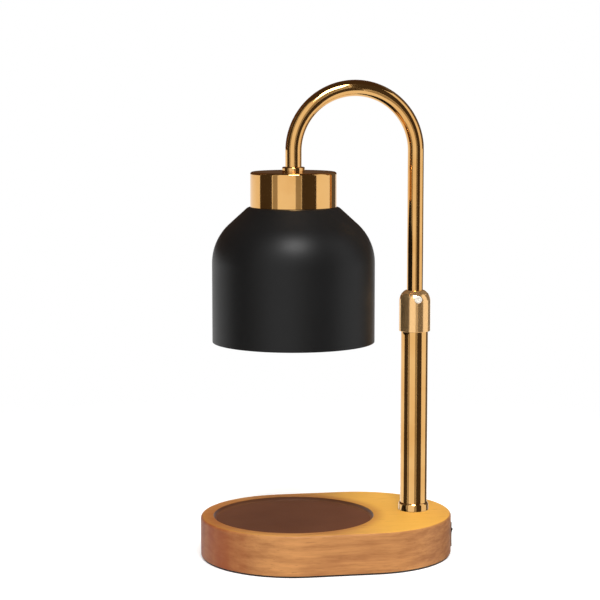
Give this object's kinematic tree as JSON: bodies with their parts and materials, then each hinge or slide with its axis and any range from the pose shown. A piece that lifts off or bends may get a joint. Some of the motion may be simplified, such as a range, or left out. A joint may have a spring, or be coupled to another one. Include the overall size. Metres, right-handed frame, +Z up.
{
  "type": "warmer lamp",
  "caption": "Table warmer lamp: oblong wooden base with a round dish, brass post, height-adjustable swing gooseneck arm and black bell shade over the dish.",
  "frame": {"origin": "on the floor, under the middle of the dish and on the axis of the shade", "axes": "+Z up; +X along the base from the dish to the post and the switch; -Y towards the front of the lamp"},
  "size_m": [0.1593, 0.1171, 0.2948],
  "materials": {
    "wood": "oiled, satin",
    "liner": "matte dark brown",
    "black_rubber": "matte",
    "brass": "polished",
    "shade_paint": "satin black outside, white inside",
    "bright_steel": "nickel plated",
    "steel": "zinc plated",
    "ceramic": "white ceramic",
    "nylon": "natural nylon",
    "black_plastic": "satin black",
    "clear_glass": "clear",
    "mirror": "facetted reflector",
    "lead_sleeve": "silicone"
  },
  "bodies": {
    "base": {"base_body": "wood", "dish_liner": "liner", "grip_pad": "black_rubber", "bottom_cover": "black_plastic", "cover_screws": "steel", "cord_bushing": "black_rubber", "cord_clamp": "black_plastic", "clamp_screws": "steel", "terminal_block": "nylon", "switch_leads": "lead_sleeve", "post_lead": "lead_sleeve", "switch_body": "black_plastic", "switch_blades": "steel", "post": "brass", "post_plug": "brass", "foot_ring": "brass", "post_washer": "steel", "post_nut": "steel", "coupling": "brass", "friction_bush": "nylon"},
    "guide": {"guide_bush": "nylon"},
    "arm": {"gooseneck": "brass", "stop_pin": "steel", "arm_lead": "lead_sleeve", "collar": "brass", "cap": "brass", "shade": "shade_paint", "holder_strap": "steel", "star_washer": "steel", "tube_nut": "brass", "lamp_holder": "ceramic", "holder_spacers": "steel", "holder_screws": "steel", "shade_screws": "steel", "lamp_neck": "ceramic", "lamp_reflector": "mirror", "lamp_lens": "clear_glass", "lamp_capsule": "clear_glass", "lamp_pins": "steel"},
    "lock": {"lock_screw": "bright_steel"},
    "rocker_button": {"rocker": "black_plastic"}
  },
  "joints": [
    {"name": "arm_height", "type": "slide", "parent": "base", "child": "guide", "axis": [0, 0, 1], "range_m": [-0.07, 0.02]},
    {"name": "arm_swing", "type": "hinge", "parent": "guide", "child": "arm", "pos_m": [0.0767, 0, 0.12], "axis": [0, 0, 1], "range_deg": [-90, 90]},
    {"name": "lock_turn", "type": "hinge", "parent": "base", "child": "lock", "pos_m": [0.0767, -0.0083, 0.1596], "axis": [0, -1, 0], "range_deg": [0, 360]},
    {"name": "rocker_tilt", "type": "hinge", "parent": "base", "child": "rocker_button", "pos_m": [0.09535, 0, 0.0098], "axis": [0, 1, 0], "range_deg": [-24, 0]}
  ]
}
